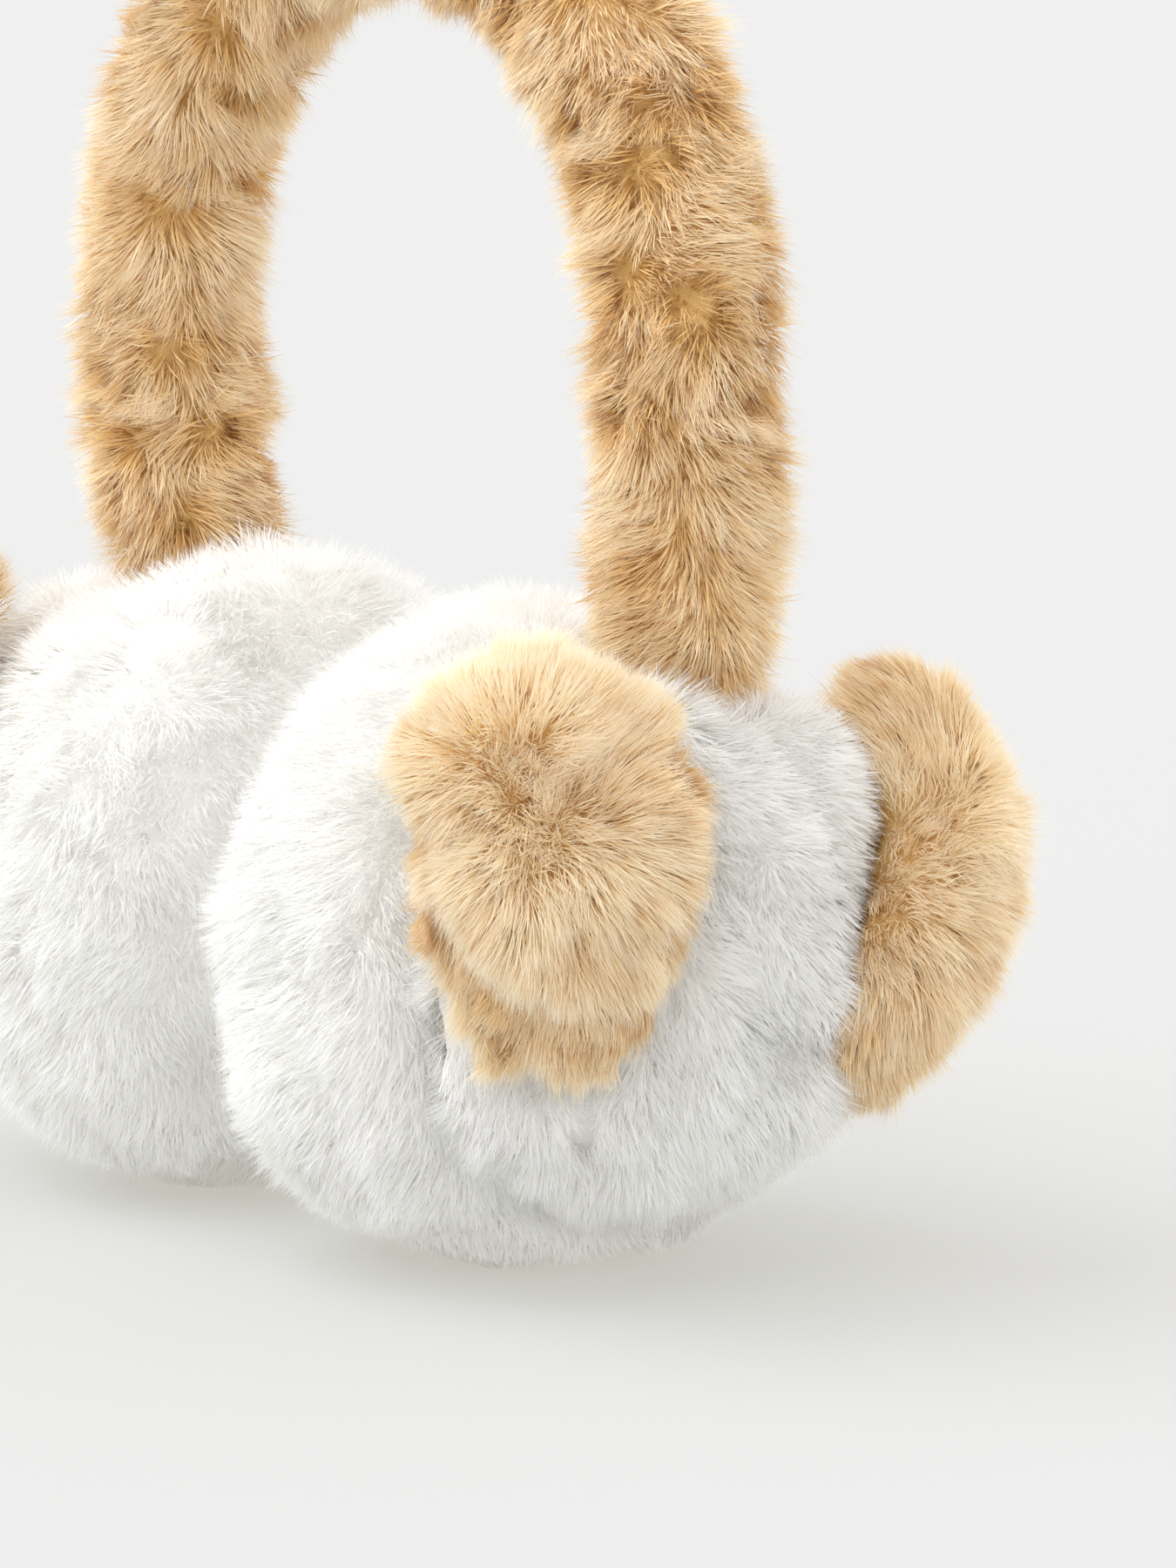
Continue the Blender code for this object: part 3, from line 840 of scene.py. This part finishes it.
def ear_reshape(plan):
    """Sets the lower lobe of an ear's skin back behind the fold, and gives the ear its lie on the cup."""

    def reshape(points, normals):
        out, across, u, v = ear_places(points, plan)
        below = smoothstep(*BELOW_FOLD, over_fold(u, v, plan))[:, None]
        faces_out = smoothstep(*FACES_OUT, dots(normals, out))[:, None]
        drop = UP * plan.drop * smoothstep(*DROP_RUN, v)[:, None]
        points = points - out * LOBE_DEPTH * below * faces_out - drop
        if plan.lean > 0:
            top = UP * TOP_DROP * smoothstep(*TOP_RUN, v)[:, None]
            shift = FRONT_SHIFT * smoothstep(*SHIFT_RUN, v) * (1 - LOBE_SHIFT_LESS * below[:, 0])
            wider = TOP_WIDER * np.sign(u) * smoothstep(*WIDER_ACROSS, np.abs(u)) * smoothstep(*WIDER_UP, v)
            waist = WAIST * u * smoothstep(*WAIST_RUN, v) * (1 - 2 * below[:, 0])
            return points + across * (shift + wider - waist)[:, None] - top
        wrap = plan.wrap * smoothstep(*WRAP_RUN, v)[:, None]
        brow = smoothstep(*BROW_RUN, v)[:, None]
        points = points + across * (WRAP_FORWARD * wrap + BROW_FORWARD * brow)
        return points - out * (WRAP_IN * wrap + BROW_IN * brow)

    return reshape


# Flow of an ear's fur, as shares; pairs are heights on the ear that a change runs between
EAR_WANDER_WAVE = 0.018
EAR_TANGLE_WAVE = 0.006
EAR_LUMP_WAVE = 0.013
EAR_TUFT_WAVE = 0.005
CENTRE_WIDTH = 0.008  # of the crown, where hairs stand every way
SWIRL_WIDTH = 0.012
SWIRL = 0.5  # in radians
LOBE_EDGE = (0.0004, -0.0004)
DROOP = 0.25
LOW_DROOP = 0.45
DROOP_RUN = (0.008, -0.016)
HANG_SPREAD = 0.030  # this far across from the fold's lowest point, fur hangs outwards at 45 degrees
RIM_MIDDLE = 0.010  # height over which the fur of the rim turns up, and under which it turns down
RIM_TURN = 0.034
RIM_UP = (-1.1, 0.9)
RIM_OUT = 0.8
BACK_RIM_IN = 1.1  # how much less the low rim of a back ear stands out,
BACK_RIM_RUN = (0.002, -0.024)
TOP_RIM_IN = 1.5  # and the top rim of any ear
TOP_RIM_RUN = (0.008, 0.024)
AT_RIM = (0.55, 0.95)  # how far a surface is turned from facing outwards, where the rim's flow sets in
EAR_WANDER = 0.26
CENTRE_WANDER = 0.3
EAR_TANGLE = 0.12
CENTRE_TANGLE = 0.5
CENTRE_CHAOS = 0.9


def from_crown(u, v, plan):
    """Places on an ear as seen from the nearest point of its crown's parting, and how far off they are."""
    du, dv = u - plan.crown_u, v - plan.crown_v
    run_u, run_v = CROWN_RUN
    part = np.clip((du * run_u + dv * run_v) / (run_u ** 2 + run_v ** 2), 0, 1)
    du, dv = du - part * run_u, dv - part * run_v
    return du, dv, np.hypot(du, dv)


def ear_face_flow(across, u, v, plan, lobe):
    """The way that fur lies on an ear's face: out from the crown in a swirl, and down on the lower lobe."""
    du, dv, r = from_crown(u, v, plan)
    swirl = SWIRL * bell(r, SWIRL_WIDTH)
    way_u = (du * np.cos(swirl) - dv * np.sin(swirl)) / np.maximum(r, NO_DISTANCE)
    way_v = (du * np.sin(swirl) + dv * np.cos(swirl)) / np.maximum(r, NO_DISTANCE)
    droop = DROOP + LOW_DROOP * smoothstep(*DROOP_RUN, v)
    fan = across * way_u[:, None] + UP * (way_v - droop)[:, None]
    hang = across * ((u - FOLD_U) / HANG_SPREAD)[:, None] - UP
    return fan * (1 - lobe)[:, None] + hang * lobe[:, None]


def ear_rim_flow(out, v, plan):
    """The way that fur lies on an ear's rim: outwards, up above the middle and down below it."""
    rim_up = np.clip((v - RIM_MIDDLE) / RIM_TURN, *RIM_UP)
    rim_in = BACK_RIM_IN * smoothstep(*BACK_RIM_RUN, v) * (plan.lean < 0)
    rim_out = RIM_OUT - rim_in - TOP_RIM_IN * smoothstep(*TOP_RIM_RUN, v)
    return out * rim_out[:, None] + UP * rim_up[:, None]


# Lie of an ear's fur in degrees from upright, and its length as shares
CROWN_EDGE = (0.003, 0.015)  # from the crown's parting, where the fur gets its full length and lean
FRINGE_WIDTH = 0.006
EAR_RISE = 18
OUTER_RISE = 28
EAR_LUMP_RISE = 9
FRINGE_RISE = 12
LOBE_RISE = 8
EAR_FALL = 48
OUTER_FALL = 22
LOBE_FALL = 6
INNER_FACE = (0.1, -0.5)  # how far a surface faces outwards, where the short fur towards the cup sets in
INNER_RUN = (0.024, 0.010)
EAR_CROWN_LENGTH = 0.78
EAR_OUTER_LENGTH = 0.22
EAR_LUMP_LENGTH = 0.10
RIM_SHORTER = 0.38
INNER_SHORTER = 0.5
LOBE_LENGTH = 0.0100
LOBE_RIM_SHORTER = 0.25
FRINGE_TUFTS = 0.0018  # how much longer and shorter the fringe is from tuft to tuft
LEAST_DESCENT = 0.1
LEAST_LENGTH = 0.0035
PALE_LONGER = 0.14
FLANK_LONGER = 0.15  # on a front ear's upper side towards the back
FLANK_ACROSS = (0.012, 0.024)
FLANK_UP = (-0.004, 0.008)

# Tone of an ear's fur, including painted shade
FRONT_PALE = 1.4  # on a front ear's upper side towards the front
PALE_ACROSS = 0.8
PALE_UP = 0.6
PALE_RUN = (0.002, 0.024)
BACK_PALE = 0.1
FRONT_TOP_PALE = 0.7
BACK_TOP_PALE = 0.15
PALE_TOP_RUN = (0.016, 0.030)
UNDER_WIDTH = 0.005  # of the painted shade under the fringe,
UNDER_PLACE = 0.8  # which lies this share of the fringe's length below the fringe's roots
EAR_LUMP_TONE = 0.12
PALE_TONE = 0.28
FRINGE_TONE = 0.26
LOBE_TONE = 0.34
UNDER_FRINGE_PAINTED_SHADE = 0.56
# painted shade: how much darker the fur on an ear's side towards the cup is
INNER_PAINTED_SHADE = 0.24
CROWN_TONE = 0.50
# painted shade: a back ear's fur, the same as a front ear's, is darker all over
BACK_EAR_PAINTED_SHADE = 0.10


def ear_growth(plan):
    """Tan fur that fans out from a swirl, hangs over the fold, and falls from it to the tip."""
    wander = vector_waves(EAR_WANDER_WAVE)
    tangle = vector_waves(EAR_TANGLE_WAVE)
    lumps = Waves(EAR_LUMP_WAVE)
    tufts = Waves(EAR_TUFT_WAVE)
    is_front = plan.lean > 0

    def growth(points, normals):
        out, across, u, v = ear_places(points, plan)
        du, dv, r = from_crown(u, v, plan)
        facing = dots(normals, out)
        sideways = np.sqrt(np.clip(1 - facing ** 2, 0, 1))
        over = over_fold(u, v, plan)
        lobe = smoothstep(*LOBE_EDGE, over)
        lump = lumps(points)

        at_rim = smoothstep(*AT_RIM, sideways)[:, None]
        face = ear_face_flow(across, u, v, plan, lobe)
        rim = ear_rim_flow(out, v, plan)
        flow = unit(face) * (1 - at_rim) + unit(rim) * at_rim
        centre = bell(r, CENTRE_WIDTH)
        flow = flow + wander(points) * (EAR_WANDER + CENTRE_WANDER * centre)[:, None]
        flow = flow + tangle(points) * (EAR_TANGLE + CENTRE_TANGLE * centre)[:, None]
        flow = flow + rng.normal(size=points.shape) * CENTRE_CHAOS * centre[:, None]
        flow = unit(along_surface(flow, normals))

        outer = smoothstep(*CROWN_EDGE, r)
        fringe = bell(over, FRINGE_WIDTH) * (1 - lobe)
        rise = EAR_RISE + OUTER_RISE * outer + EAR_LUMP_RISE * lump - FRINGE_RISE * fringe + LOBE_RISE * lobe
        rise, fall = np.radians(rise), np.radians(EAR_FALL + OUTER_FALL * outer + LOBE_FALL * lobe)

        inner = smoothstep(*INNER_FACE, facing) * smoothstep(*INNER_RUN, v)
        length = EAR_STYLE.length * (EAR_CROWN_LENGTH + EAR_OUTER_LENGTH * outer + EAR_LUMP_LENGTH * lump)
        length = length * (1 - RIM_SHORTER * sideways) * (1 - INNER_SHORTER * inner)
        length = np.where(lobe > 0.5, LOBE_LENGTH * (1 - LOBE_RIM_SHORTER * sideways), length)
        descent = flow[:, 2] * (np.sin(rise) + np.sin(fall)) + normals[:, 2] * (np.cos(rise) + np.cos(fall))
        descent = -descent / 2
        room = over + FRINGE + FRINGE_TUFTS * tufts(points)
        over_edge = (descent > LEAST_DESCENT) & (lobe < 0.5)
        limit = np.where(over_edge, room / np.maximum(descent, LEAST_DESCENT), length)
        length = np.maximum(np.minimum(length, limit), LEAST_LENGTH)

        if is_front:
            pale = FRONT_PALE * smoothstep(*PALE_RUN, dv * PALE_UP - du * PALE_ACROSS)
            flank = smoothstep(*FLANK_ACROSS, u) * smoothstep(*FLANK_UP, v)
            length = length * (1 + PALE_LONGER * pale + FLANK_LONGER * flank)
        else:
            pale = BACK_PALE * (1 - at_rim[:, 0])
        top_pale = FRONT_TOP_PALE if is_front else BACK_TOP_PALE
        pale = np.maximum(pale, top_pale * smoothstep(*PALE_TOP_RUN, v))
        # painted shade: a darker band on the lower lobe just under the fringe
        under = bell(over + FRINGE * UNDER_PLACE, UNDER_WIDTH) * lobe
        tone = EAR_STYLE.tone + EAR_LUMP_TONE * lump + PALE_TONE * pale
        tone = tone + FRINGE_TONE * fringe + LOBE_TONE * lobe - UNDER_FRINGE_PAINTED_SHADE * under
        # painted shade: darker on the ear's side towards the cup
        tone = tone - INNER_PAINTED_SHADE * inner + CROWN_TONE * bell(r, SWIRL_WIDTH)
        # painted shade: a back ear is darker all over
        tone = tone - (0 if is_front else BACK_EAR_PAINTED_SHADE)
        return Growth(flow, rise, fall, length, tone)

    return growth


# Foot of a cup's skin; the pairs are heights, and distances from the middle of the foot
FOOT_LIFT = 0.0016  # how much the edge of a cup's foot rises from the floor,
COVER_LIFT = 0.0042  # and how much more its outer side does
FOOT_RUN = (0.034, 0.004)
FOOT_EDGE = (0.010, 0.034)
FOOT_OUTER = (0.018, 0.044)


def foot_reshape(side):
    """Rounds the foot of a cup's skin, which the floor presses flat only in its middle."""

    def reshape(points, normals):
        low = smoothstep(*FOOT_RUN, points[:, 2])
        across, along = points[:, 0] * side - FOOT_X, points[:, 1] - CUP_CENTRE_Y
        edge = smoothstep(*FOOT_EDGE, np.hypot(across, along))
        outer = smoothstep(*FOOT_OUTER, across)
        rise = low * (FOOT_LIFT * edge + COVER_LIFT * outer)
        return points + UP * rise[:, None]

    return reshape


# How a skin differs from the smoothed solid: depth below it, lumps as pairs of wavelength and depth,
# a function that moves its points, and how full it is
Form = namedtuple("Form", "inset lumps reshape fill")
BAND_FORM = Form(0.0034, ((0.013, 0.0018),), None, 0.8)
CUP_LUMPS = ((0.022, 0.0022), (0.010, 0.0007))
CUP_FILL = 0.8
EAR_LUMPS = ((0.012, 0.0012),)
EAR_FILL = 0.6

# Blades of the coat on a pad and on a cover of each cup, and on each side of the headband
CupPlan = namedtuple("CupPlan", "name side ear_pad cup_cover")
CUP_PLANS = (CupPlan("right", 1, 24000, 20000), CupPlan("left", -1, 18000, 13000))
CUP_LAYERS = ((COAT, 1.0), (HAIRS, 4.4))  # blades of a layer for each of those
BAND_LAYERS = ((COAT, 14000), (HAIRS, 50000))
EAR_LAYERS = ((COAT, 0.55), (HAIRS, 2.4))  # blades of a layer for each strand of an ear

# Where fewer hairs grow: on a pad's face towards the head, and on an ear's side towards the cup
PAD_FACE = (0.006, 0.018)
PAD_FACE_SHARE = 0.35
PAD_OTHER_SHARE = 0.65
EAR_INNER_SIDE = -0.35
EAR_INNER_SHARE = 0.12


def make_skins():
    """The skins of all nodes, by the nodes' names."""
    white = skin_material("white_underfur", WHITE_UNDERFUR, WHITE_PATCHES)
    tan = skin_material("tan_underfur", TAN_UNDERFUR, TAN_PATCHES)
    skins = {"headband": make_skin("headband", tan, BAND_FORM)}
    for plan in CUP_PLANS:
        form = Form(0.0, CUP_LUMPS, foot_reshape(plan.side), CUP_FILL)
        for piece in ("ear_pad", "cup_cover"):
            node = f"{piece}_{plan.name}"
            skins[node] = make_skin(node, white, form)
    for plan in EAR_PLANS:
        node = f"plush_ear_{plan.name}"
        form = Form(0.0, EAR_LUMPS, ear_reshape(plan), EAR_FILL)
        skins[node] = make_skin(node, tan, form)
    return skins


def grow_cup(plan, skins, material):
    """White fur on the pad and the cover of a cup."""

    def on_pad(centres, normals):
        return PAD_FACE_SHARE + PAD_OTHER_SHARE * smoothstep(*PAD_FACE, centres[:, 0] * plan.side)

    def on_cover(centres, normals):
        return np.ones(len(centres))

    crown = np.array([[plan.side * CROWN_X, CUP_CENTRE_Y + CROWN_BACK, CROWN_HEIGHT]])
    ears = [f"plush_ear_{plan.name}_front", f"plush_ear_{plan.name}_back"]
    for piece, other, weigh in (("ear_pad", "cup_cover", on_pad), ("cup_cover", "ear_pad", on_cover)):
        node = f"{piece}_{plan.name}"
        near = [skins[name] for name in (*ears, "headband", f"{other}_{plan.name}")]
        bed = make_bed(skins[node], near, weigh)
        growth = cup_growth(plan.side, crown)
        for layer, share in CUP_LAYERS:
            count = int(getattr(plan, piece) * share)
            grow(f"{node}_{layer.name}", bed, material, count, CUP_STYLE, layer, growth)


def grow_band(skins, material):
    """Tan fur on the headband, one side after the other."""
    band = skins["headband"]
    growth = band_growth(band)
    for plan in CUP_PLANS:

        def on_side(centres, normals, side=plan.side):
            return (centres[:, 0] * side > 0).astype(float)

        near = [skins[f"ear_pad_{plan.name}"], skins[f"cup_cover_{plan.name}"]]
        bed = make_bed(band, near, on_side)
        for layer, count in BAND_LAYERS:
            name = f"headband_{plan.name}_{layer.name}"
            grow(name, bed, material, count, BAND_STYLE, layer, growth)


def grow_ear(plan, skins, material):
    """Tan fur on an ear."""

    def on_ear(centres, normals):
        out, _, _, _ = ear_places(centres, plan)
        return np.where(dots(out, normals) > EAR_INNER_SIDE, 1.0, EAR_INNER_SHARE)

    node = f"plush_ear_{plan.name}"
    cup = plan.name.split("_")[0]
    bed = make_bed(skins[node], [skins[f"ear_pad_{cup}"], skins[f"cup_cover_{cup}"]], on_ear)
    growth = ear_growth(plan)
    for layer, share in EAR_LAYERS:
        count = int(plan.strands * share)
        grow(f"{node}_{layer.name}", bed, material, count, EAR_STYLE, layer, growth)


def main():
    add_camera()
    add_light()
    add_floor()
    white_hair = hair_material("white_hair", WHITE_DEEP, WHITE_PALE, WHITE_CLEAR)
    tan_hair = hair_material("tan_hair", TAN_DEEP, TAN_PALE, TAN_CLEAR)
    skins = make_skins()
    for plan in CUP_PLANS:
        grow_cup(plan, skins, white_hair)
    grow_band(skins, tan_hair)
    for plan in EAR_PLANS:
        grow_ear(plan, skins, tan_hair)


main()
